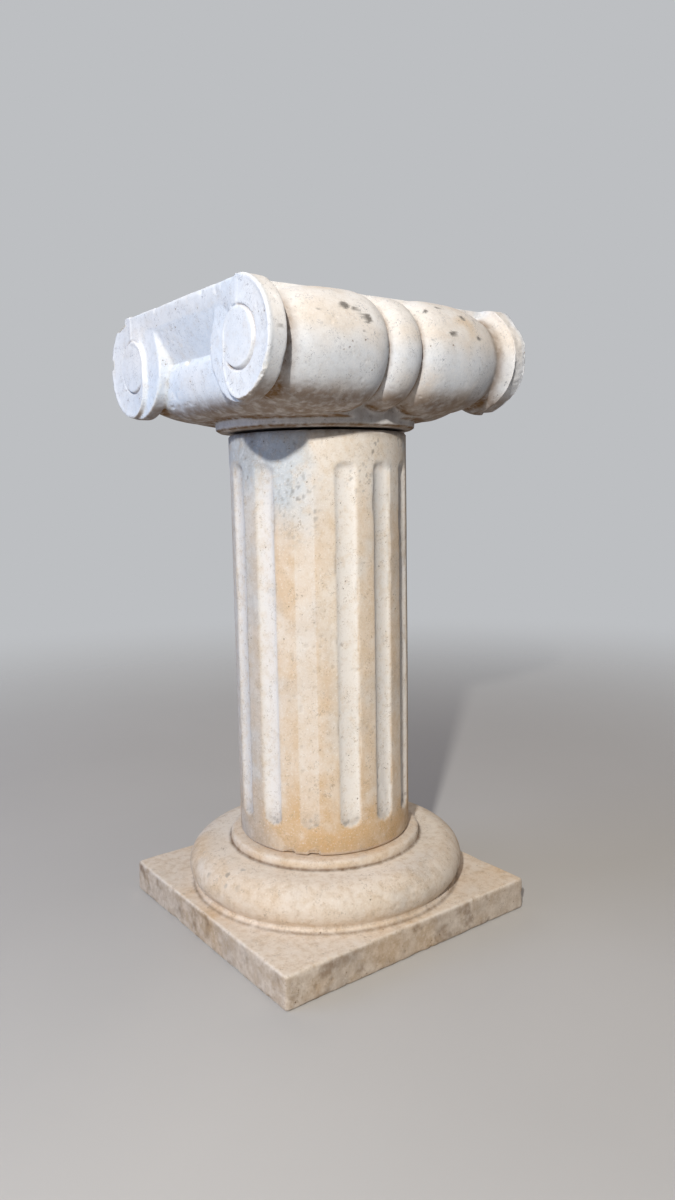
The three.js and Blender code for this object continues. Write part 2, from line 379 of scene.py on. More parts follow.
# ---------------------------------------------------------------------------- base
@dataclass
class BaseStone:
    """The square plinth with the torus and the fillet ring that carries the shaft, in one block."""

    side: float = 370.0
    height: float = 40.0
    corner: float = 4.0
    arris: float = 1.2
    axis: Pair = (1.5, 2.0)
    torus_radius: float = 178.5
    torus_foot: float = 173.0
    torus_top: float = 94.0
    shoulder: float = 148.0
    fillet_radius: float = 124.0
    fillet_neck: float = 118.5
    top: float = 105.5
    voxel: float = 2.0
    triangles: int = 150_000
    chips: tuple[Chip, ...] = (
        Chip((184, 184, 38), (0.6, 0.5, 0.7), 13.0),
        Chip((-184, -184.5, 39), (-0.5, -0.6, 0.7), 11.0),
        Chip((184, -184, 38.5), (0.5, -0.6, 0.7), 8.0),
        Chip((184.2, 182.5, 14.0), (0.8, 0.6, 0.1), 9.0),
        Chip((-183, 183, 38), (-0.6, 0.6, 0.6), 12.0),
        Chip((92, -185, 39.6), (0.1, -0.7, 0.7), 9.0),
        Chip((-60, -185, 39.4), (-0.1, -0.6, 0.8), 7.0),
        Chip((185, 60, 39.5), (0.7, 0.1, 0.7), 8.0),
        Chip((185, -104, 1.0), (0.8, 0.0, -0.5), 10.0),
        Chip((-30, 184.5, 39.2), (0.1, 0.7, 0.7), 10.0),
        Chip((-184.6, 20, 39.4), (-0.7, 0.2, 0.7), 9.0),
    )
    noise: StoneNoise = field(default_factory=lambda: StoneNoise(11))

    def plinth(self) -> Shell:
        """A slab with eased corners and arrises."""
        shell = bmesh.new()
        bmesh.ops.create_cube(shell, size=1.0)
        stretch(shell, (self.side, self.side, self.height))
        shift(shell, (0, 0, self.height / 2))
        upright = [edge for edge in shell.edges if edge.verts[0].co.z != edge.verts[1].co.z]
        ease(shell, upright, self.corner, 4)
        rims = [edge for edge in shell.edges if edge.verts[0].co.z == edge.verts[1].co.z]
        ease(shell, rims, self.arris, 2)
        return shell

    def torus(self) -> Shell:
        """The torus on a narrow foot, and the round-nosed ring above it."""
        middle = (self.height + self.torus_top) / 2
        rise = self.torus_top - middle
        ring = (self.torus_top + self.top) / 2
        nose = self.top - ring
        shell = turned([
            (0, self.height - 6), (self.torus_foot, self.height - 6), (self.torus_foot, self.height + 3.5),
            *arc((self.shoulder, middle), (self.torus_radius - self.shoulder, rise), -52, 90, 30),
            (self.fillet_radius - 2.5, self.torus_top),
            *arc((self.fillet_radius - 3.0, ring), (3.0, nose), -75, 75, 8),
            (self.fillet_neck, self.top), (0, self.top),
        ], 180)
        shift(shell, (*self.axis, 0))
        return shell

    def build(self) -> Piece:
        """Makes the stone, its wear and its masks.

        Returns:
            The finished mesh, without its material.
        """
        piece = closed_mesh([self.plinth(), self.torus()], "base_stone")
        voxelised(piece, self.voxel)
        surface = Surface(piece)
        surface.places = surface.averaged(surface.places, 1)
        self.wear(surface)
        surface.store()
        self.weather_and_shade(thinned(piece, self.triangles, Stone.BASE))
        return piece

    def wear(self, surface: Surface) -> None:
        """Rubs the arrises, takes the chips off and pits the faces."""
        places = surface.places
        arris = np.maximum(-surface.hollowness(3), 0.0)
        nicks = self.noise.patches(places, 26.0, 0.15, 0.75)
        surface.sink(np.minimum(arris * (0.3 + 2.2 * nicks), 2.2))
        swell = 0.5 * (self.noise.layered(places, 70.0) - 1.0)
        surface.sink(-0.55 * np.minimum(swell, 0.0) * smoothstep(places[:, 2], 0.5, 6.0))
        surface.sink(pits(places, self.noise, 7.0, 0.9))
        for chip in self.chips:
            chip.cut(surface, self.noise)
        keep_inside(surface, Stone.BASE)

    def weather_and_shade(self, surface: Surface) -> None:
        """Paints the masks that the finish reads, among them painted shade in hollows and creases."""
        places, patches = surface.places, self.noise.patches
        radius = np.hypot(places[:, 0] - self.axis[0], places[:, 1] - self.axis[1])
        height = places[:, 2]
        # painted shade: dark lines in the creases at the torus's foot and where the fillet ring meets the
        # torus
        lines = sum(bell(radius - at, width) * bell(height - level, 2.4) for at, level, width in (
            (self.torus_foot, self.height, 2.0), (self.fillet_radius, self.torus_top, 2.4)))
        crusted = patches(places, 55.0, 0.1, 0.9)
        blots = patches(places + 70.0, 17.0, 0.2, 1.1)
        # the plinth's sides are painted darker than its top, in mottled patches
        side = smoothstep(height, 39.5, 36.0) * (0.4 + 0.3 * crusted + 0.3 * blots)
        # painted shade in the hollows, added to the crease lines, the darker sides and dirt blots
        dirt_and_shade = 0.35 * smoothstep(surface.hollowness(4), 0.15, 1.0) + 0.8 * lines + 0.8 * side + 0.08 * blots
        bare = sum(chip.bare(surface, self.noise) for chip in self.chips)
        spots = smoothstep(self.noise(places, 9.0), 0.62, 0.72) * crusted
        surface.paint("weather_and_shade", (dirt_and_shade, bare, 0.6 * spots))
        ochre = patches(places + 400.0, 80.0, -0.3, 0.9)
        grey = patches(places + 900.0, 46.0, 0.25, 1.1)
        rubbed = smoothstep(-surface.hollowness(3), 0.12, 0.5)
        crown = smoothstep(height, 78.0, 92.0) * smoothstep(radius, 165.0, 140.0)
        crown = crown * (height < self.torus_top + 1.0)
        surface.paint("tone", (0.15 + 0.6 * ochre, 0.45 * grey, 0.4 * rubbed + 0.6 * crown))


# ---------------------------------------------------------------------------- shaft
@dataclass
class FlutedShaft:
    """The plain drum with fourteen shallow flutes, the first of them barely started."""

    axis: Pair = (1.5, 2.0)
    radius: float = 111.0
    foot: float = 105.8
    top: float = 611.7
    arris: float = 1.5
    flutes: int = 14
    first: float = -45.0
    flute_width: float = 25.6
    flute_depth: float = 4.8
    first_depth: float = 1.0
    flute_foot: float = 140.0
    flute_head: float = 574.0
    end_rise: float = 9.0
    steps_per_flute: int = 28
    rows: int = 240
    chips: tuple[Chip, ...] = (
        Chip((56.0, -91.0, 110.0), (0.45, -0.75, -0.5), 9.0, 0.8, 0.2),
        Chip((80.0, -71.5, 109.5), (0.65, -0.6, -0.5), 8.0, 0.8, 0.2),
        Chip((34.0, -103.5, 107.0), (0.3, -0.85, -0.35), 6.0, 0.8, 0.4),
        Chip((110.0, 22.0, 610.0), (0.8, 0.2, 0.6), 7.0),
        Chip((18.0, -107.0, 610.5), (0.2, -0.8, 0.6), 6.0),
        Chip((-60.0, 95.0, 609.0), (-0.5, 0.7, 0.5), 9.0),
        Chip((-88.0, -62.0, 108.0), (-0.7, -0.5, -0.4), 9.0),
    )
    noise: StoneNoise = field(default_factory=lambda: StoneNoise(23))

    def drum(self) -> Shell:
        """A drum with even rows and enough facets for its flutes."""
        inner = self.radius - self.arris
        heights = np.linspace(self.foot + self.arris, self.top - self.arris, self.rows)
        profile = [(0, self.foot), (inner / 2, self.foot), (inner, self.foot),
                   *((self.radius, float(z)) for z in heights),
                   (inner, self.top), (inner / 2, self.top), (0, self.top)]
        return turned(profile, self.flutes * self.steps_per_flute)

    def flute_offset(self, angle: Values) -> tuple[Values, Values]:
        """Finds the nearest flute at some angles.

        Args:
            angle: Angles in degrees.

        Returns:
            The angle from the middle of the nearest flute, and that flute's number.
        """
        pitch = 360.0 / self.flutes
        turns = (angle - self.first) / pitch
        number = np.round(turns)
        return (turns - number) * pitch, number % self.flutes

    def spread(self, places: Points) -> Points:
        """Shifts the facets round the drum so that some of them lie along the flutes' arrises.

        Args:
            places: Places about the drum's axis.

        Returns:
            The places turned to their new angles.
        """
        radius = np.hypot(places[:, 0], places[:, 1])
        angle = np.degrees(np.arctan2(places[:, 1], places[:, 0])) + self.first
        offset, number = self.flute_offset(angle)
        half_pitch = 180.0 / self.flutes
        half_flute = math.degrees(math.asin(self.flute_width / 2 / self.radius))
        offset = np.interp(offset, (-half_pitch, -half_pitch / 2, half_pitch / 2, half_pitch),
                           (-half_pitch, -half_flute, half_flute, half_pitch))
        turned_to = np.radians(self.first + number * 2 * half_pitch + offset)
        return np.column_stack((radius * np.cos(turned_to), radius * np.sin(turned_to), places[:, 2]))

    def flute_shape(self, places: Points) -> Values:
        """How far a place lies inside a flute: 1 on its middle line, 0 on and outside its arris."""
        angle = np.degrees(np.arctan2(places[:, 1], places[:, 0]))
        across = np.radians(self.flute_offset(angle)[0]) * self.radius / (self.flute_width / 2)
        below = np.maximum(self.flute_foot + self.end_rise - places[:, 2], 0.0)
        above = np.maximum(places[:, 2] - self.flute_head + self.end_rise, 0.0)
        along = (below + above) / self.end_rise
        return np.maximum(1.0 - across ** 2 - along ** 2, 0.0)

    def depths(self, places: Points) -> Values:
        """Depth of each flute, a little uneven as cut by hand."""
        angle = np.degrees(np.arctan2(places[:, 1], places[:, 0]))
        number = self.flute_offset(angle)[1]
        uneven = 0.3 * self.noise(np.column_stack((number * 37.0, places[:, 2] / 3, number)), 40.0)
        return np.where(number == 0, self.first_depth, self.flute_depth) + uneven

    def build(self) -> Piece:
        """Makes the stone, its flutes, wear and masks.

        Returns:
            The finished mesh, without its material.
        """
        piece = closed_mesh([self.drum()], "shaft_stone")
        surface = Surface(piece)
        places = self.spread(surface.places)
        inside = self.flute_shape(places)
        radius = np.maximum(np.hypot(places[:, 0], places[:, 1]), 1e-6)
        wall = smoothstep(radius, self.radius - 2 * self.arris, self.radius - self.arris / 2)
        sunk = 1.0 - wall * self.depths(places) * inside ** 0.62 / radius
        surface.places = places * np.column_stack((sunk, sunk, np.ones(len(sunk))))
        surface.places = surface.places + np.array((*self.axis, 0.0))
        self.wear(surface, wall)
        surface.store()
        self.weather_and_shade(surface, inside * wall)
        return piece

    def wear(self, surface: Surface, wall: Values) -> None:
        """Rubs the arrises, takes the chips off and pits the wall."""
        places = surface.places
        arris = np.maximum(-surface.hollowness(2), 0.0)
        nicks = self.noise.patches(places, 24.0, 0.2, 0.9)
        surface.sink(wall * np.minimum(arris * (0.6 + 2.5 * nicks), 1.6))
        surface.sink(wall * (0.35 + 0.3 * self.noise.layered(places, 60.0, 2)).clip(0.0))
        surface.sink(wall * pits(places, self.noise, 6.0, 0.8))
        for chip in self.chips:
            chip.cut(surface, self.noise)
        keep_inside(surface, Stone.SHAFT)

    def weather_and_shade(self, surface: Surface, flute: Values) -> None:
        """Paints the masks that the finish reads, among them painted shade in hollows and at the flutes'
        lower ends, and a painted shadow of the capital round the top.

        Args:
            surface: The carved surface.
            flute: 1 on the flutes' middle lines, 0 outside them.
        """
        places, noise = surface.places, self.noise
        height = places[:, 2]
        angle = np.degrees(np.arctan2(places[:, 1] - self.axis[1], places[:, 0] - self.axis[0]))
        bed = smoothstep(flute, 0.0, 0.3)
        streaks = noise.layered(places * np.array((1.0, 1.0, 0.22)), 22.0)
        high = smoothstep(height, 500.0, 580.0)
        # the lower ends of the flute beds, which get painted shade and crusts
        foot = bed * smoothstep(height, self.flute_foot + 26.0, self.flute_foot)
        crust, second_crust = (bell(np.abs(angle - at), wide) * bell(height - level, tall)
                               for at, wide, level, tall in ((-49.0, 13.0, 528.0, 38.0),
                                                             (-8.0, 8.0, 555.0, 22.0)))
        specks = smoothstep(noise(places + 35.0, 4.4) + 0.4 * noise(places + 75.0, 2.4), 0.42, 0.68)
        crusted = noise.patches(places + 90.0, 34.0, 0.1, 0.9) * (0.2 + 0.8 * high)
        crusted = np.minimum(crusted + 0.7 * foot + 0.9 * crust + second_crust, 1.2)
        # painted shade in the hollows and at the flutes' lower ends
        dirt_and_shade = 0.4 * smoothstep(surface.hollowness(3), 0.12, 0.7) + 0.25 * foot
        dirt_and_shade = dirt_and_shade + 0.18 * smoothstep(streaks, 0.6, 1.3)
        # painted shadow of the capital, in a band round the top of the shaft
        dirt_and_shade = dirt_and_shade + 0.45 * smoothstep(height, self.top - 14.0, self.top - 1.0)
        # darker towards the foot
        dirt_and_shade = dirt_and_shade + 0.16 * smoothstep(height, 140.0, 108.0)
        # darker on the side that faces between -Y and -X, more so near the top
        dirt_and_shade = dirt_and_shade + 0.1 * (1.0 + high) * smoothstep(-angle, 60.0, 85.0)
        bare = sum(chip.bare(surface, noise) for chip in self.chips)
        surface.paint("weather_and_shade", (dirt_and_shade, bare, 0.7 * specks * crusted))
        clean = np.maximum(bed - 0.65 * bed * (self.flute_offset(angle)[1] == 0), 0.0)
        sunny = 0.5 + 0.5 * np.cos(np.radians(angle + 36.0))
        runs = noise.layered(places * np.array((1.0, 1.0, 0.12)) + 300.0, 16.0)
        ochre = (0.5 + 0.25 * runs) * smoothstep(sunny, 0.35, 0.9)
        ochre = ochre * (1.0 - clean) * smoothstep(height, 570.0, 480.0)
        low = smoothstep(height, 250.0, 115.0) * (1.0 - 0.8 * clean)
        shade = high * smoothstep(np.abs(angle + 82.0), 32.0, 8.0)
        grey = noise.patches(places + 800.0, 48.0, 0.0, 0.9) * (0.2 + 0.7 * high)
        grey = grey + (0.8 + 0.25 * streaks) * crust + 0.4 * smoothstep(sunny, 0.6, 0.2)
        grey = grey + 0.7 * shade * (0.8 + 0.2 * streaks)
        grey = grey + 0.4 * smoothstep(np.abs(angle + 95.0), 30.0, 12.0)
        chalk = clean * (0.85 + 0.2 * streaks) + 0.2 * high
        chalk = chalk + 0.5 * smoothstep(-surface.hollowness(2), 0.15, 0.5)
        surface.paint("tone", (0.12 + 0.75 * ochre + 0.6 * low, grey, chalk * (1.0 - 0.85 * shade)))


# ---------------------------------------------------------------------------- capital
@dataclass
class ScrolledCapital:
    """The carved top stone: four scrolls, two hollowed faces, two rolled sides and a round neck.

    Angles round a scroll are turns in degrees, measured clockwise from its top on the front right
    scroll, and mirrored on the others. A dip is (distance along the roll, radius, width of its rise).
    """

    top: float = 756.3
    face: float = 184.8
    scroll_x: float = 126.0
    scroll_z: float = 696.0
    scroll_radius: float = 61.0
    scroll_thickness: float = 22.5
    eye_radius: float = 30.0
    spiral_start: float = 175.0
    spiral_end: float = 262.0
    ledge: float = 689.0
    channel_depth: float = 25.0
    channel_flat: float = 84.0
    roll_x: float = 121.0
    roll_z: float = 692.5
    crest_radius: float = 64.3
    crest_low: float = 58.0
    crest_high: float = 66.0
    front_dip: Triple = (157.5, 48.5, 7.0)
    back_dip: Triple = (144.0, 50.5, 25.0)
    groove: Pair = (23.5, 45.5)
    belt_radius: float = 62.5
    neck_radius: float = 124.0
    neck_foot: float = 613.4
    neck_top: float = 632.0
    voxel: float = 1.5
    triangles: int = 190_000
    chips: tuple[Chip, ...] = (
        Chip((178.0, -183.9, 667.5), (0.7, -0.6, -0.4), 9.0, 1.3, 0.3),
        Chip((171.5, -184.0, 656.5), (0.6, -0.6, -0.5), 7.0, 1.3, 0.3),
        Chip((161.5, -184.0, 647.0), (0.5, -0.6, -0.6), 9.0, 1.3, 0.3),
        Chip((148.5, -184.2, 640.0), (0.3, -0.6, -0.7), 7.0, 1.3, 0.3),
        Chip((133.0, -184.6, 636.0), (0.1, -0.5, -0.85), 6.0, 1.0, 0.3),
        Chip((-152.0, -176.0, 746.5), (-0.25, -0.12, 0.96), 17.0, 1.0),
        Chip((-83.0, -162.0, 688.5), (0.0, -0.6, 0.8), 8.0),
        Chip((-20.0, -162.5, 688.8), (0.1, -0.6, 0.8), 6.0),
        Chip((40.0, -162.5, 688.6), (-0.1, -0.6, 0.8), 5.0),
        Chip((-176.0, 182.0, 665.0), (-0.7, 0.6, -0.4), 14.0, 1.0),
        Chip((-150.0, 183.0, 750.0), (-0.4, 0.6, 0.7), 11.0, 0.8),
        Chip((-184.5, -181.0, 705.0), (-0.8, -0.6, 0.1), 8.0, 0.8),
        Chip((118.0, -38.0, 614.0), (0.8, -0.25, -0.5), 7.0),
        Chip((60.0, 184.3, 754.5), (0.0, 0.7, 0.7), 8.0),
        Chip((-120.0, 20.0, 614.0), (-0.8, 0.2, -0.5), 8.0),
    )
    crusts: tuple[tuple[float, ...], ...] = (      # middles and radii of the crusts of lichen
        (172.6, -82.9, 729.6, 5.4), (174.8, -70.6, 726.8, 4.2), (179.2, -59.6, 718.0, 5.6),
        (164.5, 35.9, 738.7, 4.2), (181.3, 61.6, 712.5, 4.8), (162.2, 14.9, 740.9, 3.6),
        (168.0, 88.0, 733.0, 3.8), (158.0, 58.0, 742.0, 3.6), (165.0, 108.0, 732.0, 3.2),
        (175.9, -116.9, 724.4, 2.9), (184.3, -169.5, 697.0, 2.4), (183.7, -66.2, 702.7, 2.3),
        (181.5, 104.2, 711.8, 3.4), (-170.0, -96.0, 731.0, 4.6), (-178.0, 40.0, 716.0, 5.2),
        (-165.0, 92.0, 737.0, 3.6), (-60.0, 184.0, 735.0, 3.0), (40.0, 182.0, 722.0, 4.2),
    )
    noise: StoneNoise = field(default_factory=lambda: StoneNoise(37))

    def channel_level(self, x: Values, z: Values) -> Values:
        """How far the hollowed face lies behind the scrolls at a place on it, in millimetres."""
        down = np.clip((self.top - z) / (self.top - self.ledge), 0.0, 1.0)
        level = 1.0 - smoothstep(np.abs(x), self.channel_flat, self.scroll_x)
        eased = np.maximum(z - self.top + 2.5, 0.0) ** 2 / 2.5
        return self.channel_depth * level * down ** 1.5 + eased

    def body(self) -> Shell:
        """The block between the scrolls, hollowed in front and behind down to its ledge."""
        shell = bmesh.new()
        bmesh.ops.create_cube(shell, size=1.0)
        bmesh.ops.subdivide_edges(shell, edges=shell.edges[:], cuts=31, use_grid_fill=True)
        height = self.top - self.ledge
        stretch(shell, (2 * self.scroll_x, 2.0, height))
        shift(shell, (0, 0, self.ledge + height / 2))
        places = np.array([vert.co for vert in shell.verts])
        for vert, sunk in zip(shell.verts, self.channel_level(places[:, 0], places[:, 2])):
            vert.co.y *= self.face - float(sunk)
        return shell

    def cushion_front(self, z: float) -> float:
        """Distance of the cushion's straight front from the middle at a height."""
        if z > 672.0:
            return 163.0 + 5.0 * math.sqrt(max(0.0, 1.0 - ((z - 672.0) / 17.5) ** 2))
        down = min((672.0 - z) / 46.0, 1.0)
        return 118.0 + 50.0 * (1.0 - down ** 2.5) ** 0.4

    def cushion(self) -> Shell:
        """The cushion under the hollow: a bowl with straight fronts."""
        lid = self.ledge + 1.5
        upper = [(194.0, z) for z in np.linspace(672.0, 688.0, 9)]
        shell = turned([(0, 622.0), *arc((124, 668), (70, 44), -90, 0, 26), *upper, (191.0, lid),
                        *((r, lid) for r in np.linspace(180.0, 0.0, 19))], 180)
        for vert in shell.verts:
            front = self.cushion_front(vert.co.z)
            vert.co.y = min(max(vert.co.y, -front), front)
            vert.co.x = min(max(vert.co.x, -self.roll_x), self.roll_x)
        return shell

    def roll_radius(self, y: float) -> float:
        """Radius of a rolled side at a distance along it from its middle."""
        groove_y, groove_radius = self.groove
        dip_y, dip_radius, width = self.front_dip if y < 0.0 else self.back_dip
        y = abs(y)
        full = 2.2
        if y < self.crest_low:
            in_belt = y < groove_y
            share = y / groove_y if in_belt else (self.crest_low - y) / (self.crest_low - groove_y)
            height = (self.belt_radius if in_belt else self.crest_radius) - groove_radius
            return groove_radius + height * (1.0 - share ** full) ** (1.0 / full)
        if y < dip_y:
            share = max(0.0, (y - self.crest_high) / (dip_y - self.crest_high))
            return self.crest_radius - (self.crest_radius - dip_radius) * share ** 2.6
        rise = float(smoothstep(np.array(y), dip_y, dip_y + width))
        return dip_radius + (self.scroll_radius - 0.6 - dip_radius) * rise

    def roll(self) -> Shell:
        """One rolled side: two long swellings with a belt tied between them."""
        ends = self.face - 5.0
        stations = np.concatenate((
            np.linspace(-ends, -self.crest_low, 70),
            -self.groove[0] - (self.crest_low - self.groove[0]) * (1 - np.sin(np.linspace(0.05, 1.57, 24))),
            self.groove[0] * np.sin(np.linspace(-1.57, 0.0, 20)),
        ))
        stations = np.unique(np.round(stations, 3))
        stations = np.unique(np.concatenate((stations, -stations)))
        shell = turned([(0, -ends), *((self.roll_radius(float(y)), float(y)) for y in stations),
                        (0, ends)], 128)
        tip_over(shell, -90)
        shift(shell, (self.roll_x, 0, self.roll_z))
        return shell

    def spiral(self, turn: Values) -> Values:
        """Outer radius of a scroll after a turn from its top."""
        inward = smoothstep(turn, self.spiral_start, self.spiral_end)
        return self.scroll_radius + (self.eye_radius - self.scroll_radius) * inward

    def scroll(self) -> Shell:
        """One scroll: a spiral plate whose rim is rounded over towards the rolled side."""
        shell = bmesh.new()
        bmesh.ops.create_circle(shell, cap_ends=True, radius=1.0, segments=180)
        for vert in shell.verts:
            turn = math.degrees(math.atan2(vert.co.x, vert.co.y)) % 360.0
            vert.co *= float(self.spiral(np.array(turn)))
        made = bmesh.ops.extrude_face_region(shell, geom=shell.faces[:])["geom"]
        moved = [item for item in made if isinstance(item, bmesh.types.BMVert)]
        bmesh.ops.translate(shell, vec=(0, 0, -self.scroll_thickness), verts=moved)
        for low, high, width in ((-0.1, 0.1, 1.0), (-99.0, -0.1, 2.6)):
            ease(shell, [edge for edge in shell.edges if all(low < vert.co.z < high for vert in edge.verts)],
                 width, 4)
        tip_over(shell, 90)
        shift(shell, (self.scroll_x, -self.face, self.scroll_z))
        return shell

    def neck(self) -> Shell:
        """The plain ring that sits on the shaft."""
        radius = self.neck_radius
        return turned([
            (0, self.neck_foot), (radius - 5.0, self.neck_foot), (radius - 4.0, self.neck_foot + 1.6),
            *arc((radius - 2.5, self.neck_foot + 4.1), (2.5, 2.5), -80, 0, 5),
            *arc((radius - 1.5, self.neck_top - 1.5), (1.5, 1.5), 0, 90, 3),
            (0, self.neck_top),
        ], 180)

    def mirrored(self, make: Callable[[], Shell], *flips: str) -> list[Shell]:
        """Makes a shell and its mirror images.

        Args:
            make: Builds the shell.
            *flips: Axes along which images are turned over, such as "x" or "xy".

        Returns:
            The shell and one image for each flip.
        """
        shells = [make()]
        for flip in flips:
            shells.append(make())
            stretch(shells[-1], [-1.0 if axis in flip else 1.0 for axis in "xyz"])
        return shells

    def build(self) -> Piece:
        """Makes the stone, its carving, wear and masks.

        Returns:
            The finished mesh, without its material.
        """
        shells = [self.body(), self.cushion(), self.neck(), *self.mirrored(self.roll, "x"),
                  *self.mirrored(self.scroll, "x", "y", "xy")]
        piece = closed_mesh(shells, "capital_stone")
        voxelised(piece, self.voxel)
        self.refine_eyes(piece)
        surface = Surface(piece)
        surface.places = surface.averaged(surface.places, 1)
        self.carve_scrolls(surface)
        self.wear(surface)
        surface.store()
        self.weather_and_shade(thinned(piece, self.triangles, Stone.CAPITAL))
        return piece

    def refine_eyes(self, piece: Piece) -> None:
        """Adds faces where the fine groove round each eye is cut."""
        mesh = bmesh.new()
        mesh.from_mesh(piece.data)
        edges = []
        for edge in mesh.edges:
            x, y, z = (value / MM for value in (edge.verts[0].co + edge.verts[1].co) / 2)
            away = math.hypot(abs(x) - self.scroll_x, z - self.scroll_z)
            if abs(y) > self.face - 4.0 and abs(away - self.eye_radius) < 6.0:
                edges.append(edge)
        bmesh.ops.subdivide_edges(mesh, edges=edges, cuts=1, use_grid_fill=True)
        mesh.to_mesh(piece.data)
        mesh.free()

    def on_scroll(self, places: Points) -> tuple[Values, Values, Values]:
        """Polar places on the nearest scroll's face.

        Args:
            places: Places in millimetres.

        Returns:
            Distance from the scroll's middle, turn from its top towards the outside in degrees, and 1
            on its flat face.
        """
        across = np.abs(places[:, 0]) - self.scroll_x
        up = places[:, 2] - self.scroll_z
        turn = np.degrees(np.arctan2(across, up)) % 360.0
        on_face = smoothstep(np.abs(places[:, 1]), self.face - 5.0, self.face - 2.0)
        return np.hypot(across, up), turn, on_face

    def carve_scrolls(self, surface: Surface) -> None:
        """Sinks the band of each scroll and cuts the groove round its eye."""
        away, turn, on_face = self.on_scroll(surface.places)
        rim = self.spiral(turn) - 3.0
        share = np.clip((away - self.eye_radius) / np.maximum(rim - self.eye_radius, 4.0), 0.0, 1.0)
        lasts = smoothstep(turn, 215.0, 170.0) * smoothstep(turn, -1.0, 50.0)
        band = 2.2 * smoothstep(share, 0.0, 0.06) * (1.0 - share) ** 0.8 * lasts
        grown = smoothstep(turn, 232.0, 205.0) * (0.7 + 0.3 * smoothstep(turn, 60.0, 180.0))
        grown = np.maximum(grown, 0.7 * smoothstep(turn, 325.0, 345.0))
        groove = 3.0 * bell(away - self.eye_radius - 1.2, 1.1) * grown
        surface.places[:, 1] -= np.sign(surface.places[:, 1]) * on_face * (band + groove)

    def wear(self, surface: Surface) -> None:
        """Rubs the arrises, takes the chips off and pits the faces."""
        places = surface.places
        arris = np.maximum(-surface.hollowness(3), 0.0)
        nicks = self.noise.patches(places, 18.0, 0.2, 0.8)
        surface.sink(np.minimum(arris * (0.25 + 2.0 * nicks), 1.5))
        surface.sink((0.3 + 0.35 * self.noise.layered(places, 45.0, 2)).clip(0.0))
        surface.sink(pits(places, self.noise, 6.0, 0.7))
        self.wear_far_rim(surface)
        for chip in self.chips:
            chip.cut(surface, self.noise)
        keep_inside(surface, Stone.CAPITAL)

    def wear_far_rim(self, surface: Surface) -> None:
        """Knocks the back rim of the right-hand roll down unevenly, the most battered edge."""
        places = surface.places
        away, turn, _ = self.on_scroll(places)
        here = smoothstep(places[:, 1], 160.0, 166.0) * (places[:, 0] > 0.0)
        here = here * smoothstep(turn, 15.0, 45.0) * smoothstep(turn, 190.0, 150.0)
        bites = 8.2 + 1.7 * self.noise(places * np.array((1.0, 0.35, 1.0)), 24.0)
        bites = np.maximum(bites + 0.6 * self.noise.layered(places, 6.0, 2), 0.4)
        worn = (self.scroll_radius - bites * here) / np.maximum(away, 1e-6)
        keep = np.where(here > 0.0, np.minimum(worn, 1.0), 1.0)
        middle = np.array((self.scroll_x, 0.0, self.scroll_z))
        surface.places = (places - middle) * np.column_stack((keep, np.ones(len(keep)), keep)) + middle

    def lichen(self, places: Points) -> Values:
        """Small round crusts of lichen with ragged edges."""
        ragged = 1.3 * self.noise.layered(places, 5.0, 2)
        spots = np.zeros(len(places))
        for *middle, size in self.crusts:
            away = np.linalg.norm(places - np.array(middle), axis=1)
            spots = np.maximum(spots, smoothstep(away + ragged, size + 0.6, size - 0.6))
        return spots

    def weather_and_shade(self, surface: Surface) -> None:
        """Paints the masks that the finish reads, among them painted shade in hollows, grooves and slits,
        under the stone and on the neck ring.
        """
        places = surface.places
        x, y, z = np.abs(places[:, 0]), np.abs(places[:, 1]), places[:, 2]
        away, turn, on_face = self.on_scroll(places)
        groove = bell(away - self.eye_radius - 1.2, 1.2) * on_face * smoothstep(turn, 232.0, 205.0)
        # painted shade in the deep grooves and dips of the rolled sides, between swellings, belt and scroll
        # plates
        roll = np.hypot(x - self.roll_x, z - self.roll_z)
        beside = smoothstep(x, self.roll_x, self.roll_x + 15.0) * smoothstep(y, 166.0, 162.0)
        beside = np.maximum(beside, smoothstep(z, 680.0, 665.0) * (x > 100.0))
        slit = smoothstep(roll, 56.0, 49.0) * (y < 163.5) * beside
        # painted shade on the faces that look down, under the rolls and the cushion, a little mottled
        underside = smoothstep(-surface.normals()[:, 2], 0.3, 0.85) * smoothstep(z, 662.0, 640.0)
        mottled = 0.5 + 0.5 * self.noise.layered(places, 14.0)
        # the neck ring under the rolls gets painted shadow and some dirt
        around = np.hypot(places[:, 0], places[:, 1])
        neck = smoothstep(around, 118.0, 122.0) * smoothstep(around, 140.0, 130.0)
        neck = neck * smoothstep(z, 640.0, 634.0)
        # painted shade in the hollows and slits, added to dirt
        dirt_and_shade = 0.35 * smoothstep(surface.hollowness(4), 0.15, 0.9) + 0.75 * slit
        # painted shadow in the groove round each eye, strongest along its bottom
        dirt_and_shade = dirt_and_shade + (0.25 + 0.6 * smoothstep(turn, 120.0, 185.0)) * groove
        dirt_and_shade = dirt_and_shade + 0.8 * underside * (0.85 + 0.2 * mottled) + 0.3 * neck * (0.6 + 0.6 * mottled)
        bare = sum(chip.bare(surface, self.noise) for chip in self.chips)
        surface.paint("weather_and_shade", (dirt_and_shade, bare, self.lichen(places)))
        rolled = smoothstep(x, self.roll_x - 10.0, self.roll_x + 30.0) * smoothstep(y, 183.0, 178.0)
        far = smoothstep(places[:, 1], -40.0, 150.0)
        front = smoothstep(y, 146.0, 156.0) * (1.0 - rolled)
        grey = front * (0.5 + 0.3 * self.noise.layered(places, 60.0) + 0.25 * (y < 180.0))
        low_roll = rolled * smoothstep(z, 715.0, 680.0) * (0.8 + 0.2 * mottled)
        rubbed = smoothstep(-surface.hollowness(3), 0.12, 0.5)
        ochre = self.noise.patches(places + 600.0, 62.0, -0.1, 1.0) * (0.5 + 0.6 * far) + 0.15 + 0.2 * far
        surface.paint("tone", (ochre * rolled, grey + 0.6 * low_roll, 0.6 * rubbed))


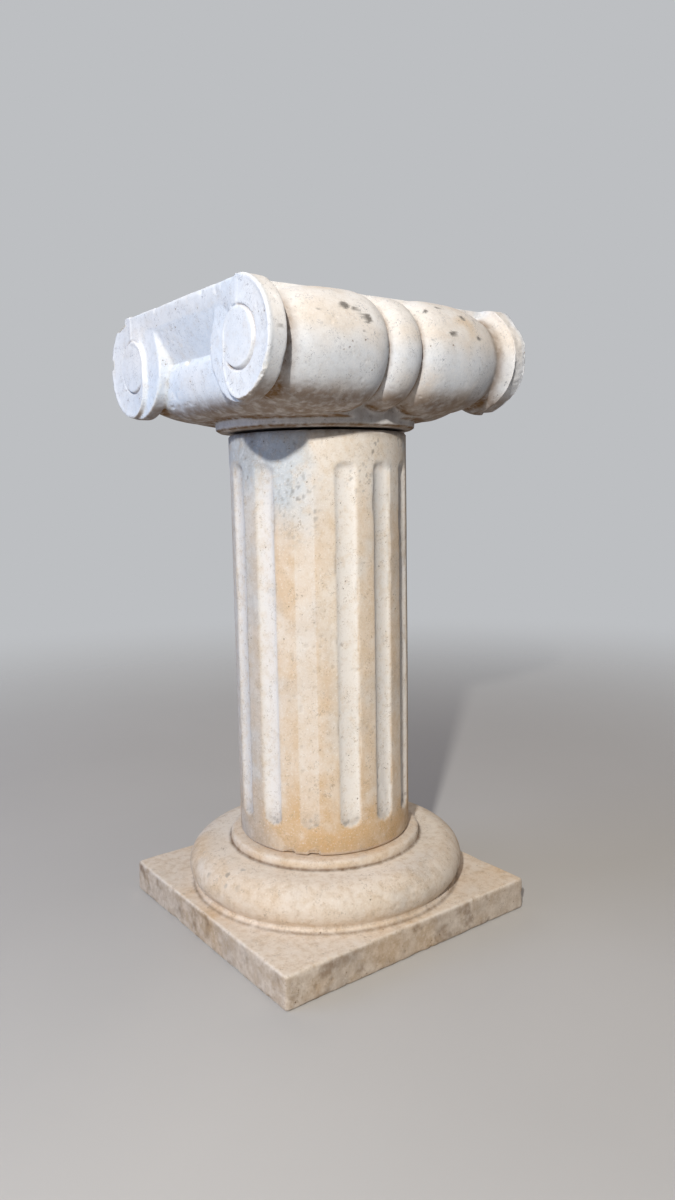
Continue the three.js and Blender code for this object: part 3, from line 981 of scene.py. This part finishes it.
# ---------------------------------------------------------------------------- finishes
class Node(Enum):
    """Kinds of shader node: Blender's type, its settings, and the inputs that are given in order."""

    PLACE = ("ShaderNodeTexCoord", {}, ())
    # reads the mask of dirt and painted shade, breaks and lichen
    WEATHER_AND_SHADE = ("ShaderNodeAttribute", {"attribute_name": "weather_and_shade"}, ())
    TONE = ("ShaderNodeAttribute", {"attribute_name": "tone"}, ())
    SPLIT = ("ShaderNodeSeparateColor", {}, ("Color",))
    NOISE = ("ShaderNodeTexNoise", {}, ("Vector", "Scale", "Detail", "Roughness"))
    CELLS = ("ShaderNodeTexVoronoi", {}, ("Vector", "Scale"))
    RANGE = ("ShaderNodeMapRange", {"interpolation_type": "SMOOTHSTEP"}, (0, 1, 2, 3, 4))
    MIX = ("ShaderNodeMix", {"data_type": "RGBA"}, (0, 6, 7))
    PRODUCT = ("ShaderNodeMath", {"operation": "MULTIPLY"}, (0, 1))
    DIFFERENCE = ("ShaderNodeMath", {"operation": "SUBTRACT"}, (0, 1))
    SIZE = ("ShaderNodeMath", {"operation": "ABSOLUTE"}, (0,))
    SUM = ("ShaderNodeMath", {"operation": "MULTIPLY_ADD"}, (0, 1, 2))
    JITTER = ("ShaderNodeVectorMath", {"operation": "MULTIPLY_ADD"}, (0, 1, 2))
    LENGTH = ("ShaderNodeVectorMath", {"operation": "LENGTH"}, (0,))
    BUMP = ("ShaderNodeBump", {}, ("Height", "Strength", "Distance"))
    GLOW = ("ShaderNodeBackground", {}, ("Color", "Strength"))
    RAY = ("ShaderNodeLightPath", {}, ())
    EITHER = ("ShaderNodeMixShader", {}, (0, 1, 2))


def linear(code: str) -> tuple[float, ...]:
    """Turns an sRGB hex colour into the linear values that Blender works in."""
    parts = [int(code[at:at + 2], 16) / 255 for at in (1, 3, 5)]
    bent = [p / 12.92 if p <= 0.04045 else ((p + 0.055) / 1.055) ** 2.4 for p in parts]
    return (*bent, 1.0)


def add_node(tree: bpy.types.NodeTree, kind: Node, *inputs: object) -> bpy.types.NodeOutputs:
    """Adds a node with its settings and its inputs.

    Args:
        tree: The node tree.
        kind: The kind of node.
        *inputs: Sockets or values, in the order that the kind gives. The last ones may be left out.

    Returns:
        The new node's outputs.
    """
    type_name, settings, names = kind.value
    node = tree.nodes.new(type_name)
    for key, value in settings.items():
        setattr(node, key, value)
    for name, value in zip(names, inputs):
        if isinstance(value, bpy.types.NodeSocket):
            tree.links.new(value, node.inputs[name])
        else:
            node.inputs[name].default_value = value
    return node.outputs


@dataclass(frozen=True)
class WeatheredLimestone:
    """Soft oolitic limestone, sawn and dressed by hand, then weathered.

    It gives a matt, chalky cream with honey stains where iron has crept in, blue-grey where the
    surface has crusted, whitish rubbed arrises, fine shell grit, dark-filled pits, and a dark brown
    for dirt and for painted shade in hollows, creases and under overhangs.
    """

    name: str
    cream: str
    ochre: str
    grey: str
    chalk: str = "#f8f3ec"
    fresh: str = "#f2ead9"
    stain: str = "#cbb79d"
    speck: str = "#a08c74"
    # dark brown for dirt, and for painted shade in hollows, creases and under overhangs
    dirt_and_shade: str = "#6a5540"
    lichen: str = "#7c766f"
    roughness: float = 0.84
    grain_mm: float = 2.2          # shell grit, drawn a little coarser than it is so that it shows
    stain_mm: float = 38.0         # width of one cloudy stain
    pit_mm: float = 6.0            # distance between pin holes
    ragged_mm: float = 2.4         # how far a pin hole's outline strays
    bump_mm: float = 0.35

    def build(self) -> bpy.types.Material:
        """Makes the material.

        Returns:
            The material, which reads a stone's tone attribute and its attribute of dirt and painted shade,
            breaks and lichen.
        """
        material = bpy.data.materials.new(self.name)
        material.use_nodes = True
        tree = material.node_tree
        shader = tree.nodes["Principled BSDF"]
        add = functools.partial(add_node, tree)
        place = add(Node.PLACE)["Object"]
        weather_and_shade = add(Node.SPLIT, add(Node.WEATHER_AND_SHADE)["Color"])
        tone = add(Node.SPLIT, add(Node.TONE)["Color"])
        stains, mottle, grit, fine, crowds, lines, groups = (
            add(Node.NOISE, place, 1.0 / (width * MM), detail, rough)["Fac"] for width, detail, rough in (
                (self.stain_mm, 4.0, 0.6), (self.stain_mm / 4, 5.0, 0.6), (self.grain_mm, 2.0, 0.7),
                (self.grain_mm / 2.5, 2.0, 0.6), (self.stain_mm / 2, 4.0, 0.6),
                (self.stain_mm / 5, 3.0, 0.6), (self.stain_mm / 3, 2.0, 0.6)))

        # pin holes crowd together and have ragged outlines
        crowd = add(Node.RANGE, crowds, 0.42, 0.68, 0.25, 1.0)[0]
        drift = add(Node.NOISE, place, 1.0 / (2.5 * MM))["Color"]
        cells = add(Node.CELLS, add(Node.JITTER, drift, (self.ragged_mm * MM,) * 3, place)[0],
                    1.0 / (self.pit_mm * MM))
        size = add(Node.RANGE, add(Node.SPLIT, cells["Color"])[0], 0.66, 1.0, 0.0, 0.2)[0]
        outside = add(Node.DIFFERENCE, cells["Distance"], add(Node.PRODUCT, size, crowd)[0])[0]
        hole = add(Node.RANGE, outside, 0.02, -0.03, 0.0, 1.0)[0]
        scratch = add(Node.SIZE, add(Node.DIFFERENCE, lines, 0.5)[0])[0]
        scratched = add(Node.RANGE, groups, 0.54, 0.62, 0.0, 1.0)[0]
        cloudy = add(Node.RANGE, stains, 0.3, 0.62, 0.35, 1.0)[0]

        # each layer: its colour, its mask, and the noise that breaks it up between two limits
        colour = linear(self.cream)
        for tint, mask, noise, *limits in (
                (self.ochre, tone[0], stains, 0.3, 0.6, 0.45, 1.0),
                (self.grey, tone[1], mottle, 0.25, 0.6, 0.6, 1.0),
                (self.chalk, tone[2], mottle, 0.3, 0.6, 0.55, 1.0),
                (self.stain, cloudy, mottle, 0.34, 0.74, 0.0, 0.45),
                (self.speck, crowd, grit, 0.46, 0.27, 0.0, 0.5),
                (self.speck, scratched, scratch, 0.014, 0.002, 0.0, 0.75),
                (self.chalk, 1.0, grit, 0.55, 0.75, 0.0, 0.5),
                (self.fresh, weather_and_shade[1], grit, 0.0, 1.0, 1.0, 1.0),
                # dirt and painted shade from the stone's masks
                (self.dirt_and_shade, weather_and_shade[0], mottle, 0.2, 0.6, 0.5, 1.0),
                (self.dirt_and_shade, hole, grit, 0.0, 1.0, 0.7, 0.7),
                (self.lichen, weather_and_shade[2], grit, 0.2, 0.5, 0.6, 0.95)):
            share = add(Node.PRODUCT, mask, add(Node.RANGE, noise, *limits)[0])[0]
            colour = add(Node.MIX, share, colour, linear(tint))[2]
        tree.links.new(colour, shader.inputs["Base Color"])

        rough = add(Node.RANGE, mottle, 0.2, 0.8, self.roughness - 0.08, self.roughness + 0.08)[0]
        tree.links.new(rough, shader.inputs["Roughness"])
        relief = 0.0
        for source, share in ((grit, 0.6), (fine, 0.4), (hole, -1.6), (mottle, 0.8)):
            relief = add(Node.SUM, source, share, relief)[0]
        tree.links.new(add(Node.BUMP, relief, 0.8, self.bump_mm * MM)[0], shader.inputs["Normal"])
        shader.inputs["Specular IOR Level"].default_value = 0.3
        return material


CAPITAL_FINISH = WeatheredLimestone("limestone_capital_carved_weathered", cream="#f7f4f0",
                                    ochre="#dfc096", grey="#dae6f3", chalk="#fbf9f6",
                                    stain="#dcd4ca", speck="#8c8d94", dirt_and_shade="#7c5c38")
SHAFT_FINISH = WeatheredLimestone("limestone_shaft_honey_dressed", cream="#f0e7da",
                                  ochre="#dab382", grey="#bcc8d0", stain="#d8bf9c")
BASE_FINISH = WeatheredLimestone("limestone_base_warm_dressed", cream="#ecdfcf",
                                 ochre="#dfbd92", grey="#bdb8b2", chalk="#f6eee2",
                                 stain="#c4a67f", dirt_and_shade="#6e5238")


# ---------------------------------------------------------------------------- studio
@dataclass(frozen=True)
class Lamp:
    """A square area light that looks at the column; azimuth is counted from +X."""

    name: str
    azimuth: float
    elevation: float
    distance: float
    size: float
    watts: float
    colour: str

    def hang(self, target: Vector) -> None:
        """Adds the light at its distance from a target."""
        data = bpy.data.lights.new(self.name, "AREA")
        data.size = self.size
        data.energy = self.watts
        data.color = linear(self.colour)[:3]
        lamp = bpy.data.objects.new(self.name, data)
        around, up = math.radians(self.azimuth), math.radians(self.elevation)
        direction = Vector((math.cos(around) * math.cos(up), math.sin(around) * math.cos(up), math.sin(up)))
        lamp.location = target + self.distance * direction
        lamp.rotation_euler = direction.to_track_quat("Z", "Y").to_euler()
        bpy.context.scene.collection.objects.link(lamp)


@dataclass
class Studio:
    """A pale floor, soft lights and the camera."""

    floor_radius: float = 3.6
    floor_fades_from: float = 0.45
    floor_colours: tuple[str, str] = ("#c8c5c0", "#c1beb9")
    backdrop_colour: str = "#bdbfc2"
    sky_colour: str = "#b4c4e0"
    sky_strength: float = 0.11
    target: Triple = (0.0, 0.0, 0.6)
    camera_place: Triple = (0.89555, -0.64070, 0.54492)
    camera_turns: Triple = (53.16, 7.393, -0.999)      # azimuth, pitch and roll in degrees
    camera_lens: float = 25.94
    lamps: tuple[Lamp, ...] = (
        Lamp("key_light", -46.0, 24.6, 2.3, 0.08, 48.0, "#fffdfa"),
        Lamp("cool_fill", -115.0, 16.0, 3.0, 1.8, 30.0, "#b4cdff"),
        Lamp("warm_fill", 100.0, 25.0, 3.4, 2.2, 9.0, "#ffdcb8"),
        Lamp("back_fill", 165.0, 20.0, 3.2, 2.2, 16.0, "#fff3e6"),
        Lamp("top_fill", 40.0, 78.0, 3.2, 2.2, 24.0, "#fff8f0"),
    )

    def floor(self) -> None:
        """Lays the floor, which fades out into the backdrop."""
        shell = bmesh.new()
        bmesh.ops.create_circle(shell, cap_ends=True, radius=self.floor_radius, segments=96)
        mesh = bpy.data.meshes.new("studio_floor")
        shell.to_mesh(mesh)
        shell.free()
        floor = bpy.data.objects.new("studio_floor", mesh)
        bpy.context.scene.collection.objects.link(floor)
        material = bpy.data.materials.new("studio_floor_matt_board")
        material.use_nodes = True
        tree = material.node_tree
        shader = tree.nodes["Principled BSDF"]
        add = functools.partial(add_node, tree)
        place = add(Node.PLACE)["Object"]
        cloud = add(Node.NOISE, place, 3.0, 3.0)["Fac"]
        tint = add(Node.MIX, cloud, *(linear(code) for code in self.floor_colours))[2]
        tree.links.new(tint, shader.inputs["Base Color"])
        shader.inputs["Roughness"].default_value = 0.75
        fade = add(Node.RANGE, add(Node.LENGTH, place)["Value"], self.floor_fades_from,
                   self.floor_radius - 1.0, 1.0, 0.0)[0]
        tree.links.new(fade, shader.inputs["Alpha"])
        floor.data.materials.append(material)

    def sky(self) -> None:
        """Sets the even, slightly cool light of the room, and the backdrop that is seen behind."""
        world = bpy.data.worlds.new("studio_sky")
        world.use_nodes = True
        tree = world.node_tree
        light, seen = (add_node(tree, Node.GLOW, linear(code), strength)[0] for code, strength in (
            (self.sky_colour, self.sky_strength), (self.backdrop_colour, 1.0)))
        both = add_node(tree, Node.EITHER, add_node(tree, Node.RAY)["Is Camera Ray"], light, seen)[0]
        tree.links.new(both, tree.nodes["World Output"].inputs["Surface"])
        bpy.context.scene.world = world

    def camera(self) -> None:
        """Places the camera."""
        azimuth, pitch, roll = (math.radians(angle) for angle in self.camera_turns)
        forward = Vector((-math.sin(azimuth) * math.cos(pitch), math.cos(azimuth) * math.cos(pitch),
                          -math.sin(pitch)))
        level = Vector((math.cos(azimuth), math.sin(azimuth), 0.0))
        upward = level.cross(forward)
        right = math.cos(roll) * level + math.sin(roll) * upward
        top = -math.sin(roll) * level + math.cos(roll) * upward
        place = Matrix((right, top, -forward)).transposed().to_4x4()
        place.translation = Vector(self.camera_place)
        data = bpy.data.cameras.new("camera")
        data.sensor_width = 36.0
        data.lens = self.camera_lens
        camera = bpy.data.objects.new("camera", data)
        camera.matrix_world = place
        bpy.context.scene.collection.objects.link(camera)
        bpy.context.scene.camera = camera

    def build(self) -> None:
        """Makes the floor, the lights and the camera."""
        self.floor()
        self.sky()
        for lamp in self.lamps:
            lamp.hang(Vector(self.target))
        self.camera()
        bpy.context.scene.view_settings.view_transform = "Standard"


# ---------------------------------------------------------------------------- the scene
def main() -> None:
    """Builds the column and the studio."""
    finish_stone(BaseStone().build(), Stone.BASE, BASE_FINISH.build())
    finish_stone(FlutedShaft().build(), Stone.SHAFT, SHAFT_FINISH.build())
    finish_stone(ScrolledCapital().build(), Stone.CAPITAL, CAPITAL_FINISH.build())
    Studio().build()


if __name__ == "__main__":
    main()
